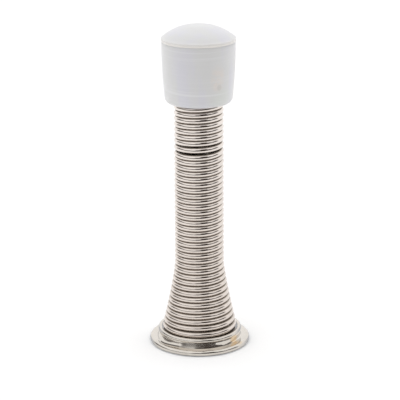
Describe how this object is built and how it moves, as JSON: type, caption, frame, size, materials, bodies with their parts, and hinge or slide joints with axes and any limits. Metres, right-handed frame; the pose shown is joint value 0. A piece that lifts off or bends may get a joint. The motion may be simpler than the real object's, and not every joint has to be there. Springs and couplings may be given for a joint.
{
  "type": "spring door stop",
  "caption": "Spring door stop: a close-wound wire spring, flared onto a round pressed base with a screw hole, with a domed rubber bumper cap on its end.",
  "frame": {"origin": "centre of the base's flange, in the plane of its underside, which is the face that sits against the wall or skirting board", "axes": "+Z out of the wall, along the spring to the bumper cap; +X to the right and +Y away from the viewer when the part stands on its base as in the picture. The end of the spring leans towards +Y."},
  "size_m": [0.025, 0.025, 0.0816],
  "materials": {
    "base_metal": "polished",
    "spring_wire": "polished",
    "cap_rubber": "satin"
  },
  "bodies": {
    "root": {"base": "base_metal", "spring": "spring_wire", "bumper_cap": "cap_rubber"}
  },
  "joints": []
}
